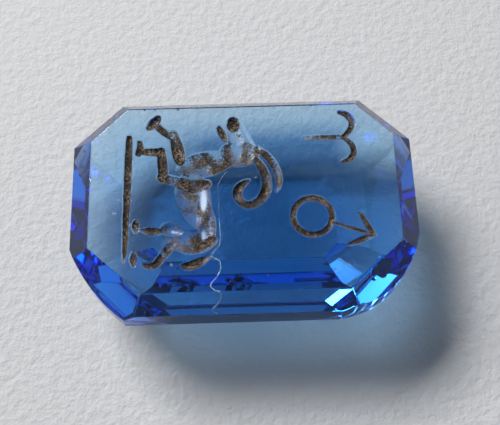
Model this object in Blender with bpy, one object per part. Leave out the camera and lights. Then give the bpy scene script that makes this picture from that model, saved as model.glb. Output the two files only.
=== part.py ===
"""A loose seal stone of blue glass: a step-cut block with a ram and two sky signs cut into its table.

The table looks up, +X runs along the stone to the signs and +Y points to the straight-cornered side.
The origin is on the underside, below the middle of the girdle. All sizes are in metres.
"""
import math

import bmesh
import bpy
from mathutils import Vector

# Whole stone
LENGTH = 0.0179
WIDTH = 0.01166
THICKNESS = 0.0062

# Girdle: the wall between crown and pavilion, leaning in a little towards the table
GIRDLE_FOOT = 0.0032
WALL_LEAN = 0.0001
FAR_CORNER_X = 0.00256
FAR_CORNER_Y = 0.00227
NEAR_LEFT_CORNER_X = 0.00275
NEAR_LEFT_CORNER_Y = 0.00358
NEAR_LEFT_BULGE = 0.00031
NEAR_RIGHT_CORNER_X = 0.0042
NEAR_RIGHT_CORNER_Y = 0.0040
NEAR_RIGHT_BULGE = 0.00094
BULGE_STEPS = 8

# Crown: one row of facets between the girdle and the flat table
TABLE_INSET_END = 0.00123
TABLE_INSET_SIDE = 0.0009
TABLE_FAR_CORNER_X = 0.00186
TABLE_FAR_CORNER_Y = 0.00182
TABLE_NEAR_CORNER_X = 0.00265
TABLE_NEAR_CORNER_Y = 0.00235
CROWN_SLOPE_SIDE = math.radians(57.0)
CROWN_SLOPE_END = math.radians(50.0)

# Pavilion: two rows of facets between the girdle and the flat underside, shallower at the stone's ends
CULET_LENGTH = 0.0100
CULET_WIDTH = 0.0044
CULET_CORNER = 0.0008
UPPER_SLOPE_SIDE = math.radians(45.0)
UPPER_SLOPE_END = math.radians(42.0)
LOWER_SLOPE_SIDE = math.radians(36.0)
LOWER_SLOPE_END = math.radians(34.0)

# Ram: its height from the ground line to the top of the horns, and where the ground line's middle lies
RAM_HEIGHT = 0.0076
RAM_GROUND_X = -0.00585
RAM_GROUND_Y = 0.0
LINE_DEPTH = 0.85
BODY_DEPTH = 0.42

# Ram sign: two horns on a stem
HORN_SIGN_X = 0.00322
HORN_SIGN_Y = 0.00303
HORN_SIGN_STEM = 0.00198
HORN_SIGN_REACH = 0.00138
HORN_SIGN_LINE = 0.00032
# One horn from the fork: along and out as shares of its reach, then its share of the line's width
HORN_CURL = [(0.0, 0.0, 0.9), (0.27, 0.3, 1.1), (0.34, 0.62, 1.15), (0.16, 0.9, 1.1), (-0.1, 1.0, 0.7)]

# War planet's sign: a ring with an arrow
RING_X = 0.00335
RING_Y = -0.00124
RING_RADIUS = 0.00096
RING_LINE = 0.00034
ARROW_TURN = math.radians(-20.0)
ARROW_LENGTH = 0.0022
ARROW_LINE = 0.00021
BARB_LENGTH = 0.0013
BARB_LINE = 0.00032
BARB_SPREAD_UP = math.radians(138.0)
BARB_SPREAD_DOWN = math.radians(219.0)
# How far past the arrow's tip each barb is begun, as a share of its line
BARB_OVERRUN_UP = 0.35
BARB_OVERRUN_DOWN = 0.1
# How slim a stroke's two ends are, as a share of its line
TAPER = 0.7

# Cutting wheel: sides of a narrow and a broad groove's section, steps between two stations and round
# the ring, and how close two points on the rims are to count as one
NARROW_SIDES = 4
BROAD_SIDES = 8
SPAN_STEPS = 2
RING_STEPS = 28
RIM_MERGE = 0.000002

# Strokes of the ram in its own upright frame, as shares of its height: ahead, up, half width
GROUND_LINE = [(0.44, 0.011, 0.013), (0.38, 0.007, 0.027), (-0.02, 0.0, 0.026), (-0.33, -0.004, 0.02),
               (-0.44, -0.01, 0.008)]
LIMBS = {
    "raised_hoof": [(0.505, 0.137, 0.017), (0.535, 0.167, 0.029), (0.571, 0.204, 0.022)],
    "raised_shank": [(0.523, 0.194, 0.022), (0.472, 0.235, 0.024), (0.437, 0.296, 0.028)],
    "raised_forearm": [(0.451, 0.309, 0.027), (0.347, 0.333, 0.04), (0.273, 0.347, 0.037),
                       (0.237, 0.347, 0.017)],
    "fore_hoof": [(0.395, 0.078, 0.017), (0.347, 0.082, 0.025), (0.314, 0.069, 0.02)],
    "fore_shank": [(0.328, 0.095, 0.019), (0.323, 0.149, 0.028), (0.317, 0.216, 0.033)],
    "fore_forearm": [(0.33, 0.223, 0.03), (0.226, 0.23, 0.035), (0.13, 0.238, 0.034)],
    "fore_shoulder": [(0.142, 0.225, 0.03), (0.1, 0.337, 0.034), (0.083, 0.429, 0.036),
                      (0.081, 0.52, 0.026)],
    "thigh": [(-0.25, 0.35, 0.03), (-0.226, 0.285, 0.052), (-0.225, 0.235, 0.026)],
    "hind_shank": [(-0.238, 0.221, 0.013), (-0.236, 0.16, 0.029), (-0.227, 0.098, 0.013)],
    "hind_hoof": [(-0.168, 0.061, 0.014), (-0.202, 0.061, 0.026), (-0.236, 0.062, 0.014)],
    "back_shank": [(-0.315, 0.318, 0.03), (-0.367, 0.267, 0.029), (-0.426, 0.223, 0.025),
                   (-0.462, 0.191, 0.024), (-0.47, 0.147, 0.019), (-0.459, 0.115, 0.01)],
    "back_hoof": [(-0.377, 0.051, 0.012), (-0.421, 0.052, 0.025), (-0.464, 0.053, 0.012)],
    "tail": [(-0.416, 0.535, 0.012), (-0.441, 0.496, 0.025), (-0.466, 0.439, 0.03), (-0.477, 0.394, 0.025),
             (-0.47, 0.364, 0.012)],
    "jaw": [(0.49, 0.616, 0.014), (0.449, 0.634, 0.022), (0.4, 0.653, 0.016)],
    "far_horn": [(0.331, 0.867, 0.02), (0.277, 0.925, 0.027), (0.218, 0.969, 0.027), (0.145, 0.996, 0.027),
                 (0.073, 1.003, 0.021), (0.016, 0.984, 0.01)],
    "near_horn": [(0.243, 0.86, 0.022), (0.184, 0.895, 0.028), (0.111, 0.919, 0.03),
                  (0.04, 0.919, 0.032), (-0.026, 0.887, 0.031), (-0.07, 0.82, 0.027),
                  (-0.061, 0.762, 0.027), (-0.011, 0.727, 0.03), (0.038, 0.731, 0.03),
                  (0.076, 0.765, 0.024), (0.097, 0.802, 0.014)],
}
MASSES = {
    "chest": [(0.192, 0.36, 0.04), (0.219, 0.45, 0.08), (0.224, 0.53, 0.093), (0.243, 0.617, 0.073),
              (0.248, 0.69, 0.035)],
    "head": [(0.292, 0.638, 0.024), (0.292, 0.685, 0.08), (0.292, 0.742, 0.097), (0.292, 0.798, 0.08),
             (0.295, 0.845, 0.026)],
    "snout": [(0.55, 0.71, 0.022), (0.507, 0.712, 0.048), (0.447, 0.718, 0.051), (0.36, 0.733, 0.06)],
    "ribs": [(0.13, 0.42, 0.06), (0.041, 0.429, 0.112), (-0.03, 0.442, 0.111), (-0.115, 0.461, 0.091),
             (-0.18, 0.47, 0.05)],
    "loin": [(-0.05, 0.5, 0.04), (-0.172, 0.518, 0.06), (-0.274, 0.517, 0.058), (-0.34, 0.478, 0.04)],
    "haunch": [(-0.301, 0.275, 0.035), (-0.309, 0.35, 0.071), (-0.319, 0.427, 0.083), (-0.314, 0.498, 0.071),
               (-0.309, 0.56, 0.032)],
}

# Colour of the glass
GLASS_COLOUR = (0.03, 0.15, 0.55, 1.0)
GLASS_ROUGHNESS = 0.06
GLASS_BEND = 1.5


def clear_scene():
    """Remove every object, so that the stone starts from an empty scene."""
    for thing in list(bpy.data.objects):
        bpy.data.objects.remove(thing, do_unlink=True)


def glass_material():
    """Give the stone's clear blue glass."""
    glass = bpy.data.materials.new("blue_glass")
    glass.use_nodes = True
    shader = glass.node_tree.nodes["Principled BSDF"]
    shader.inputs["Base Color"].default_value = GLASS_COLOUR
    shader.inputs["Roughness"].default_value = GLASS_ROUGHNESS
    shader.inputs["Metallic"].default_value = 0.0
    shader.inputs["Transmission Weight"].default_value = 1.0
    shader.inputs["IOR"].default_value = GLASS_BEND
    return glass


def bulged(start, end, bulge):
    """Points from start to end along a shallow arch that stands out from the middle by bulge."""
    across = end - start
    outward = Vector((across.y, -across.x)).normalized()
    if outward.dot(start + end) < 0.0:
        outward = -outward
    shares = [step / BULGE_STEPS for step in range(BULGE_STEPS + 1)]
    return [start + across * share + outward * (bulge * 4.0 * share * (1.0 - share)) for share in shares]


def girdle_outline(inset):
    """The girdle seen from above: straight far corners and bulging near ones, all moved in by inset."""
    half_x = LENGTH / 2.0 - inset
    half_y = WIDTH / 2.0 - inset
    far = [Vector((half_x, half_y - FAR_CORNER_Y)), Vector((half_x - FAR_CORNER_X, half_y)),
           Vector((FAR_CORNER_X - half_x, half_y)), Vector((-half_x, half_y - FAR_CORNER_Y))]
    left = bulged(Vector((-half_x, NEAR_LEFT_CORNER_Y - half_y)),
                  Vector((NEAR_LEFT_CORNER_X - half_x, -half_y)), NEAR_LEFT_BULGE)
    right = bulged(Vector((half_x - NEAR_RIGHT_CORNER_X, -half_y)),
                   Vector((half_x, NEAR_RIGHT_CORNER_Y - half_y)), NEAR_RIGHT_BULGE)
    return far + left + right


def octagon(half_x, half_y, far_cut, near_cut):
    """A rectangle with cut corners: each cut is how far it reaches along X and along Y."""
    (far_x, far_y), (near_x, near_y) = far_cut, near_cut
    return [Vector((half_x, half_y - far_y)), Vector((half_x - far_x, half_y)),
            Vector((far_x - half_x, half_y)), Vector((-half_x, half_y - far_y)),
            Vector((-half_x, near_y - half_y)), Vector((near_x - half_x, -half_y)),
            Vector((half_x - near_x, -half_y)), Vector((half_x, near_y - half_y))]


def facet_directions(corners):
    """The outward direction of each side of an octagon, seen from above."""
    sides = zip(corners, corners[1:] + corners[:1])
    return [Vector((end.y - start.y, start.x - end.x)).normalized() for start, end in sides]


def reach(outline, direction):
    """How far an outline reaches in a direction."""
    return max(point.dot(direction) for point in outline)


def glass_blank(mesh):
    """Pour the blank: a plug of the girdle's outline, as thick as the stone, with a leaning wall."""
    foot = girdle_outline(0.0)
    head = girdle_outline(WALL_LEAN)
    rings = [[mesh.verts.new((p.x, p.y, height)) for p in outline]
             for outline, height in ((foot, 0.0), (foot, GIRDLE_FOOT), (head, THICKNESS))]
    count = len(foot)
    for low, high in zip(rings, rings[1:]):
        for side in range(count):
            after = (side + 1) % count
            mesh.faces.new((low[side], low[after], high[after], high[side]))
    mesh.faces.new(reversed(rings[0]))
    mesh.faces.new(rings[-1])


def grind(mesh, point, normal):
    """Grind one flat facet: all that stands beyond its plane goes, and one face closes the cut."""
    parts = mesh.verts[:] + mesh.edges[:] + mesh.faces[:]
    bmesh.ops.bisect_plane(mesh, geom=parts, dist=1e-7, plane_co=point, plane_no=normal, clear_outer=True)
    rim = [edge for edge in mesh.edges if edge.is_boundary]
    bmesh.ops.holes_fill(mesh, edges=rim, sides=0)


def grind_row(mesh, outline, height, slopes, upward, directions):
    """Grind a row of facets through an outline at a height; a corner's slope lies between side and end."""
    side_slope, end_slope = slopes
    for direction in directions:
        slope = side_slope * direction.y ** 2 + end_slope * direction.x ** 2
        rise = math.cos(slope) if upward else -math.cos(slope)
        edge = direction * reach(outline, direction)
        normal = Vector((direction.x * math.sin(slope), direction.y * math.sin(slope), rise))
        grind(mesh, Vector((edge.x, edge.y, height)), normal)


def cut_stone(name, material):
    """Make the faceted stone before it is engraved."""
    table = octagon(LENGTH / 2.0 - TABLE_INSET_END, WIDTH / 2.0 - TABLE_INSET_SIDE,
                    (TABLE_FAR_CORNER_X, TABLE_FAR_CORNER_Y), (TABLE_NEAR_CORNER_X, TABLE_NEAR_CORNER_Y))
    culet = octagon(CULET_LENGTH / 2.0, CULET_WIDTH / 2.0,
                    (CULET_CORNER, CULET_CORNER), (CULET_CORNER, CULET_CORNER))
    mesh = bmesh.new()
    glass_blank(mesh)
    bmesh.ops.recalc_face_normals(mesh, faces=mesh.faces)
    crown_slopes = (CROWN_SLOPE_SIDE, CROWN_SLOPE_END)
    upper_slopes = (UPPER_SLOPE_SIDE, UPPER_SLOPE_END)
    lower_slopes = (LOWER_SLOPE_SIDE, LOWER_SLOPE_END)
    grind_row(mesh, table, THICKNESS, crown_slopes, True, facet_directions(table))
    grind_row(mesh, girdle_outline(0.0), GIRDLE_FOOT, upper_slopes, False, facet_directions(culet))
    grind_row(mesh, culet, 0.0, lower_slopes, False, facet_directions(culet))
    bmesh.ops.recalc_face_normals(mesh, faces=mesh.faces)
    data = bpy.data.meshes.new(name)
    mesh.to_mesh(data)
    mesh.free()
    data.materials.append(material)
    stone = bpy.data.objects.new(name, data)
    bpy.context.scene.collection.objects.link(stone)
    return stone


def on_table(ahead, up, width):
    """Place a station of the ram, which stands with its feet towards the stone's left end."""
    return Vector((RAM_GROUND_X + up * RAM_HEIGHT, RAM_GROUND_Y + ahead * RAM_HEIGHT)), width * RAM_HEIGHT


def eased(stations, steps):
    """Smooth a stroke: add stations between the given ones, on a curve through them all."""
    padded = [stations[0]] + stations + [stations[-1]]
    smooth = []
    for before, start, end, after in zip(padded, padded[1:], padded[2:], padded[3:]):
        for step in range(steps):
            t = step / steps
            weights = (-t * (1 - t) ** 2 / 2, 1 - t * t * (5 - 3 * t) / 2,
                       t * (1 + t * (4 - 3 * t)) / 2, -t * t * (1 - t) / 2)
            four = (before, start, end, after)
            place = sum((point * weight for (point, _), weight in zip(four, weights)), Vector((0.0, 0.0)))
            smooth.append((place, sum(width * weight for (_, width), weight in zip(four, weights))))
    return smooth + [stations[-1]]


def gouge(name, stations, depth, sides, closed, shelf):
    """Make one cutter: a boat-shaped body that a turning wheel would leave along the stations."""
    mesh = bmesh.new()
    half_step = math.pi / (2 * sides)
    count = len(stations)
    rings = []
    for index, (place, width) in enumerate(stations):
        behind = stations[index - 1][0] if closed or index else place
        ahead = stations[(index + 1) % count][0] if closed or index + 1 < count else place
        along = (ahead - behind).normalized()
        across = Vector((-along.y, along.x))
        ring = []
        for side in range(-1, sides + 1):
            angle = (side + 0.5) * math.pi / sides
            sideways = across * (width * math.cos(angle) / math.cos(half_step))
            drop = width * depth * math.sin(angle)
            ring.append(mesh.verts.new((place.x + sideways.x, place.y + sideways.y, THICKNESS - drop)))
        rings.append(ring)
    pairs = list(zip(rings, rings[1:]))
    if closed:
        pairs.append((rings[-1], rings[0]))
    size = sides + 2
    for ring, following in pairs:
        for corner in range(size):
            nearby = (corner + 1) % size
            mesh.faces.new((ring[corner], ring[nearby], following[nearby], following[corner]))
    if not closed:
        mesh.faces.new(rings[0])
        mesh.faces.new(reversed(rings[-1]))
    bmesh.ops.recalc_face_normals(mesh, faces=mesh.faces)
    data = bpy.data.meshes.new(name)
    mesh.to_mesh(data)
    mesh.free()
    cutter = bpy.data.objects.new(name, data)
    cutter.hide_render = True
    cutter.display_type = "WIRE"
    shelf.objects.link(cutter)


def cut_ram(shelf):
    """Make the cutters of the ram and of the line that it stands on."""
    narrow_cut("ground_line", [on_table(*station) for station in GROUND_LINE], shelf)
    for name, stroke in LIMBS.items():
        narrow_cut(name, [on_table(*station) for station in stroke], shelf)
    for name, stroke in MASSES.items():
        stations = eased([on_table(*station) for station in stroke], SPAN_STEPS)
        gouge("cut_" + name, stations, BODY_DEPTH, BROAD_SIDES, False, shelf)


def tapered(start, end, line):
    """Stations of a straight stroke that is a little slimmer at both ends."""
    half = line / 2.0
    return [(start, half * TAPER), ((start + end) / 2.0, half), (end, half * TAPER)]


def narrow_cut(name, stations, shelf):
    """Make the cutter of an open, narrow stroke through its stations."""
    gouge("cut_" + name, eased(stations, SPAN_STEPS), LINE_DEPTH, NARROW_SIDES, False, shelf)


def cut_horn_sign(shelf):
    """Make the cutters of the ram sign: a stem along X that parts into two curling horns."""
    root = Vector((HORN_SIGN_X, HORN_SIGN_Y))
    fork = root + Vector((HORN_SIGN_STEM, 0.0))
    half = HORN_SIGN_LINE / 2.0
    narrow_cut("sign_stem", [(root, half), ((root + fork) / 2.0, half), (fork, half)], shelf)
    for name, turn in (("far", 1.0), ("near", -1.0)):
        curl = [(fork + Vector((along, turn * out)) * HORN_SIGN_REACH, half * share)
                for along, out, share in HORN_CURL]
        narrow_cut("sign_horn_" + name, curl, shelf)


def cut_ring_sign(shelf):
    """Make the cutters of the planet's sign: a ring, the arrow's shaft and its two barbs."""
    middle = Vector((RING_X, RING_Y))
    turns = [step * math.tau / RING_STEPS for step in range(RING_STEPS)]
    round_middle = [Vector((math.cos(turn), math.sin(turn))) * RING_RADIUS for turn in turns]
    ring = [(middle + point, RING_LINE / 2.0) for point in round_middle]
    gouge("cut_ring", ring, LINE_DEPTH, NARROW_SIDES, True, shelf)
    heading = Vector((math.cos(ARROW_TURN), math.sin(ARROW_TURN)))
    root = middle + heading * RING_RADIUS
    tip = root + heading * ARROW_LENGTH
    narrow_cut("arrow_shaft", tapered(root, tip - heading * BARB_LINE, ARROW_LINE), shelf)
    barbs = (("up", BARB_SPREAD_UP, BARB_OVERRUN_UP), ("down", BARB_SPREAD_DOWN, BARB_OVERRUN_DOWN))
    for name, spread, overrun in barbs:
        back = Vector((math.cos(ARROW_TURN + spread), math.sin(ARROW_TURN + spread)))
        barb = tapered(tip - back * (BARB_LINE * overrun), tip + back * BARB_LENGTH, BARB_LINE)
        narrow_cut("barb_" + name, barb, shelf)


def engrave(stone, shelf):
    """Take every cutter on the shelf away from the stone."""
    cut = stone.modifiers.new("engraving", "BOOLEAN")
    cut.operation = "DIFFERENCE"
    cut.solver = "EXACT"
    cut.operand_type = "COLLECTION"
    cut.collection = shelf
    cut.use_self = True
    clean = stone.modifiers.new("clean_rims", "WELD")
    clean.merge_threshold = RIM_MERGE


def main():
    """Cut the stone, then engrave it."""
    clear_scene()
    stone = cut_stone("seal_stone", glass_material())
    shelf = bpy.data.collections.new("cutters")
    bpy.context.scene.collection.children.link(shelf)
    cut_ram(shelf)
    cut_horn_sign(shelf)
    cut_ring_sign(shelf)
    engrave(stone, shelf)


main()
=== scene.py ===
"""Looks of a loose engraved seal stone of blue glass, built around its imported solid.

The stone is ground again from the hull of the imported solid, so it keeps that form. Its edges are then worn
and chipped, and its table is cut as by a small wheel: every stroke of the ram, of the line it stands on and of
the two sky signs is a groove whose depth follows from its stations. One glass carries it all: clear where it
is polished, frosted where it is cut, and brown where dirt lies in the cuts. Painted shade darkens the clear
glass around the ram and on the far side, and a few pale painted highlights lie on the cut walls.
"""

import logging
import math
import random
from collections import Counter
from dataclasses import dataclass, field
from enum import Enum
from typing import Any, Iterable, Sequence

import bmesh
import bpy
import numpy as np
from mathutils import Matrix, Vector, noise
from mathutils.geometry import delaunay_2d_cdt


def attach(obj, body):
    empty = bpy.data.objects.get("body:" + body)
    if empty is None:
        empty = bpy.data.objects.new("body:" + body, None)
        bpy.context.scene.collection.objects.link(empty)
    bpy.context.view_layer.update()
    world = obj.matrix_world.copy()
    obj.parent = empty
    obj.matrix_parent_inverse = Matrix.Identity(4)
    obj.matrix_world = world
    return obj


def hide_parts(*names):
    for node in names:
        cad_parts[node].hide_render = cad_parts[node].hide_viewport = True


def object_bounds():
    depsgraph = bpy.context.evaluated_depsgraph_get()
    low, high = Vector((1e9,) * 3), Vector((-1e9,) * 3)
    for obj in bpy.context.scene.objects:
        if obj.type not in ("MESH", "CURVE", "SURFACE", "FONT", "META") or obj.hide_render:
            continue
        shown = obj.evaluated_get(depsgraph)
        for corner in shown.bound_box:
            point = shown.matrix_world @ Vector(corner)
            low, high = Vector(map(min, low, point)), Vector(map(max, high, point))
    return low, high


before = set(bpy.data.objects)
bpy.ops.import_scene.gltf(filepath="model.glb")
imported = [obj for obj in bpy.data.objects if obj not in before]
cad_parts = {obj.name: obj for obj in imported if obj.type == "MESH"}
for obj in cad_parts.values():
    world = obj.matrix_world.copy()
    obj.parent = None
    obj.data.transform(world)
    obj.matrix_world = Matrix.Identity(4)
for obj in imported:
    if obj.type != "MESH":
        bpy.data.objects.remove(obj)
CAD_LOW, CAD_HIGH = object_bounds()

STONE_NODE = "seal_stone"
BODY = "root"
MILLIMETRE = 0.001
LEVEL = 1e-6

log = logging.getLogger("seal_stone")


def ramp(values: np.ndarray, span: tuple[float, float]) -> np.ndarray:
    """How far each value has come from the span's start to its end, kept from 0 to 1."""
    start, end = span
    return np.clip((values - start) / (end - start), 0.0, 1.0)


class Shade:
    """A number on a shader socket that takes part in plain arithmetic."""

    def __init__(self, bench: "Bench", socket: bpy.types.NodeSocket) -> None:
        """Wrap a socket.

        Args:
            bench: the bench whose tree the socket is in.
            socket: the output socket that gives the number.
        """
        self.bench = bench
        self.socket = socket

    def _maths(self, operation: str, first: Any, second: Any) -> "Shade":
        """Add one Math node.

        Args:
            operation: the Math node's operation.
            first: its first value, a number or a Shade.
            second: its second value, a number or a Shade.

        Returns:
            The node's result.
        """
        node = self.bench.node("ShaderNodeMath", {"operation": operation}, {0: first, 1: second})
        return Shade(self.bench, node.outputs[0])

    def __add__(self, other: Any) -> "Shade":
        """This plus another."""
        return self._maths("ADD", self, other)

    def __radd__(self, other: Any) -> "Shade":
        """Another plus this."""
        return self._maths("ADD", other, self)

    def __sub__(self, other: Any) -> "Shade":
        """This less another."""
        return self._maths("SUBTRACT", self, other)

    def __rsub__(self, other: Any) -> "Shade":
        """Another less this."""
        return self._maths("SUBTRACT", other, self)

    def __mul__(self, other: Any) -> "Shade":
        """This times another."""
        return self._maths("MULTIPLY", self, other)

    def __rmul__(self, other: Any) -> "Shade":
        """Another times this."""
        return self._maths("MULTIPLY", other, self)

    def over(self, low: float, high: float) -> "Shade":
        """How far this has come from low to high, eased at both ends.

        Args:
            low: the value that gives 0.
            high: the value that gives 1.

        Returns:
            A number from 0 to 1.
        """
        node = self.bench.node("ShaderNodeMapRange", {"interpolation_type": "SMOOTHSTEP"},
                               {"Value": self, "From Min": low, "From Max": high})
        return Shade(self.bench, node.outputs["Result"])

    def clamped(self) -> "Shade":
        """This, kept from 0 to 1."""
        return Shade(self.bench, self.bench.node("ShaderNodeClamp", {}, {"Value": self}).outputs["Result"])


class Bench:
    """Builds one material's nodes."""

    def __init__(self, name: str) -> None:
        """Start a material with no nodes but its output.

        Args:
            name: the material's name.
        """
        self.material = bpy.data.materials.new(name)
        self.material.use_nodes = True
        self.tree = self.material.node_tree
        self.tree.nodes.clear()
        self.output = self.tree.nodes.new("ShaderNodeOutputMaterial")
        self.place = self.node("ShaderNodeTexCoord").outputs["Object"]

    def node(self, kind: str, settings: dict[str, Any] | None = None,
             sockets: dict[Any, Any] | None = None) -> bpy.types.Node:
        """Add a node.

        Args:
            kind: the node's type.
            settings: its own settings, set first.
            sockets: values, sockets or Shades for its inputs, by name or number.

        Returns:
            The new node.
        """
        made = self.tree.nodes.new(kind)
        for key, value in (settings or {}).items():
            setattr(made, key, value)
        for key, value in (sockets or {}).items():
            self.feed(made.inputs[key], value)
        return made

    def feed(self, socket: bpy.types.NodeSocket, value: Any) -> None:
        """Link or set one input.

        Args:
            socket: the input.
            value: a Shade, an output socket, or a plain value.
        """
        if isinstance(value, Shade):
            self.tree.links.new(value.socket, socket)
        elif isinstance(value, bpy.types.NodeSocket):
            self.tree.links.new(value, socket)
        else:
            socket.default_value = value

    def painted(self, name: str) -> Shade:
        """The number that the mesh carries under a name."""
        return Shade(self, self.node("ShaderNodeAttribute", {"attribute_name": name}).outputs["Fac"])

    def grain(self, size: float, detail: float = 2.0, rough: float = 0.5) -> Shade:
        """Soft random variation.

        Args:
            size: the size of its patches, in metres.
            detail: how many finer layers it has.
            rough: how strong the finer layers are.

        Returns:
            A number around one half.
        """
        inputs = {"Vector": self.place, "Scale": 1.0 / size, "Detail": detail, "Roughness": rough}
        return Shade(self, self.node("ShaderNodeTexNoise", {}, inputs).outputs["Fac"])

    def blend(self, factor: Any, first: Any, second: Any) -> bpy.types.NodeSocket:
        """Mix two colours.

        Args:
            factor: how much of the second shows.
            first: the first colour, as a value or socket.
            second: the second colour, as a value or socket.

        Returns:
            The mixed colour.
        """
        mix = self.node("ShaderNodeMix", {"data_type": "RGBA"}, {"Factor": factor})
        self.feed(mix.inputs[6], first)
        self.feed(mix.inputs[7], second)
        return mix.outputs[2]

    def mixed(self, factor: Any, first: bpy.types.Node, second: bpy.types.Node) -> bpy.types.Node:
        """Mix two shaders.

        Args:
            factor: how much of the second shows.
            first: the first shader's node.
            second: the second shader's node.

        Returns:
            The Mix Shader node.
        """
        return self.node("ShaderNodeMixShader", {}, {0: factor, 1: first.outputs[0], 2: second.outputs[0]})

    def finish(self, surface: bpy.types.Node, volume: bpy.types.Node | None = None) -> bpy.types.Material:
        """Wire the output.

        Args:
            surface: the surface shader's node.
            volume: the volume shader's node, if there is one.

        Returns:
            The material.
        """
        self.feed(self.output.inputs["Surface"], surface.outputs[0])
        if volume is not None:
            self.feed(self.output.inputs["Volume"], volume.outputs["Volume"])
        return self.material


class Mark(Enum):
    """The numbers that the stone's mesh carries for its glass, by name."""

    HAZE = "table_haze"
    # Frost of the cuts; where it goes above 1 it carries a painted highlight.
    FROST_AND_HIGHLIGHT = "cut_frost_and_highlight"
    SOIL = "cut_soil"
    # Painted shade: how far the clear glass is darkened, for the shade under the stone.
    PAINTED_SHADE = "table_painted_shade"


def rgb(*parts: float) -> tuple[float, float, float, float]:
    """A full colour from its red, green and blue."""
    return (*parts, 1.0)


@dataclass(frozen=True)
class SealGlass:
    """The stone's one glass: polished, hazed on the table, frosted in the cuts, brown where dirt lies, with
    painted shade and highlights.
    """

    bend: float = 1.52
    shine: tuple[float, ...] = (0.25, 0.42, 0.75)
    polish: float = 0.02
    wear: float = 0.06
    haze_even: float = 0.75
    haze_blur: float = 0.3
    cloud_size: float = 0.0034
    rub_size: float = 0.00025
    scratch_size: float = 0.00006
    thickness_colour: tuple[float, ...] = (0.0, 0.58, 0.955)
    thickness_strength: float = 210.0
    # Painted shade: the tint of the clear glass where the table carries painted shade.
    painted_shade_colour: tuple[float, ...] = (0.12, 0.25, 0.47)
    frost_colour: tuple[float, ...] = (0.5, 0.66, 0.86)
    frost_blur: float = 0.36
    frost_clear: float = 0.9
    # Painted highlight: the pale colour of the few cut walls where a glint is painted.
    painted_highlight_colour: tuple[float, ...] = (0.46, 0.58, 0.76)
    soil_light: tuple[float, ...] = (0.25, 0.2, 0.15)
    soil_mid: tuple[float, ...] = (0.1, 0.072, 0.053)
    soil_dark: tuple[float, ...] = (0.012, 0.009, 0.007)
    soil_rust: tuple[float, ...] = (0.1, 0.044, 0.02)
    grain_size: float = 0.00012
    patch_size: float = 0.0007

    def material(self) -> bpy.types.Material:
        """Build the material.

        Returns:
            The glass, with its absorption.
        """
        bench = Bench("seal_glass")
        haze = bench.painted(Mark.HAZE.value)
        frost = bench.painted(Mark.FROST_AND_HIGHLIGHT.value)
        soil = bench.painted(Mark.SOIL.value)
        painted_shade = bench.painted(Mark.PAINTED_SHADE.value)
        clouds = bench.grain(self.cloud_size, 3.0).over(0.3, 0.75)
        rubbed = bench.grain(self.rub_size, 4.0, 0.7)
        # The clear glass is tinted darker by the painted shade on the table.
        clear = bench.node("ShaderNodeBsdfPrincipled", {}, {
            "Base Color": bench.blend(painted_shade, rgb(1.0, 1.0, 1.0), rgb(*self.painted_shade_colour)),
            "Roughness": self.polish + haze * rubbed * self.wear,
            "Transmission Weight": 1.0,
            "IOR": self.bend,
            "Specular Tint": rgb(*self.shine),
            "Coat Weight": haze * (self.haze_even + clouds * (1.0 - self.haze_even)),
            "Coat Roughness": self.haze_blur,
        })
        scratches = bench.grain(self.scratch_size, 3.0, 0.65)
        ground = bench.node("ShaderNodeBsdfPrincipled", {}, {
            "Base Color": rgb(*self.frost_colour),
            "Roughness": self.frost_blur,
            "Transmission Weight": self.frost_clear,
            "IOR": self.bend,
            "Normal": bench.node("ShaderNodeBump", {}, {"Strength": 0.6, "Distance": 0.00001,
                                                        "Height": scratches}).outputs["Normal"],
        })
        milled = (frost * (0.3 + scratches * 1.1)).clamped()
        # Painted highlight: a pale rough layer shows where the frost mark goes above 1.
        painted_highlight = bench.node("ShaderNodeBsdfPrincipled", {}, {"Base Color": rgb(*self.painted_highlight_colour),
                                                            "Roughness": 0.8})
        painted_highlight_share = (frost - 1.0 + (scratches - 0.5) * 1.8).over(0.2, 0.85)
        glass = bench.mixed(painted_highlight_share, bench.mixed(milled, clear, ground), painted_highlight)
        dirt = self._dirt(bench)
        lumps = bench.grain(self.grain_size, 4.0, 0.75)
        covered = (soil + (lumps - 0.5) * 2.2).over(0.36, 0.6) * soil.over(0.03, 0.2)
        depth = bench.node("ShaderNodeVolumeAbsorption", {}, {
            "Color": rgb(*self.thickness_colour), "Density": self.thickness_strength})
        return bench.finish(bench.mixed(covered, glass, dirt), depth)

    def _dirt(self, bench: Bench) -> bpy.types.Node:
        """Build the dry dirt's shader.

        Args:
            bench: the bench of the stone's material.

        Returns:
            The shader's node.
        """
        patches = bench.grain(self.patch_size, 2.0)
        crumbs = bench.grain(self.grain_size, 3.0, 0.7)
        rust = bench.grain(self.patch_size * 1.3, 3.0, 0.6).over(0.54, 0.68) * 0.6
        dry = bench.blend(patches.over(0.36, 0.68), rgb(*self.soil_mid), rgb(*self.soil_light))
        colour = bench.blend(crumbs.over(0.45, 0.62), rgb(*self.soil_dark),
                             bench.blend(rust, dry, rgb(*self.soil_rust)))
        bump = bench.node("ShaderNodeBump", {}, {"Strength": 0.9, "Distance": 0.00003, "Height": crumbs})
        return bench.node("ShaderNodeBsdfPrincipled", {}, {
            "Base Color": colour, "Roughness": 0.85, "Specular IOR Level": 0.3,
            "Normal": bump.outputs["Normal"]})


@dataclass(frozen=True)
class CrackGlass:
    """A hair crack: a thin gap in the glass that gives back the light."""

    colour: tuple[float, ...] = (0.62, 0.84, 1.0)
    blur: float = 0.35

    def material(self) -> bpy.types.Material:
        """Build the material.

        Returns:
            The crack's material.
        """
        bench = Bench("hair_crack_glass")
        broken = bench.grain(0.00022, 3.0).over(0.32, 0.6)
        return bench.finish(bench.node("ShaderNodeBsdfPrincipled", {}, {
            "Base Color": rgb(*self.colour), "Roughness": self.blur, "Alpha": 0.3 + broken * 0.7}))


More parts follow.
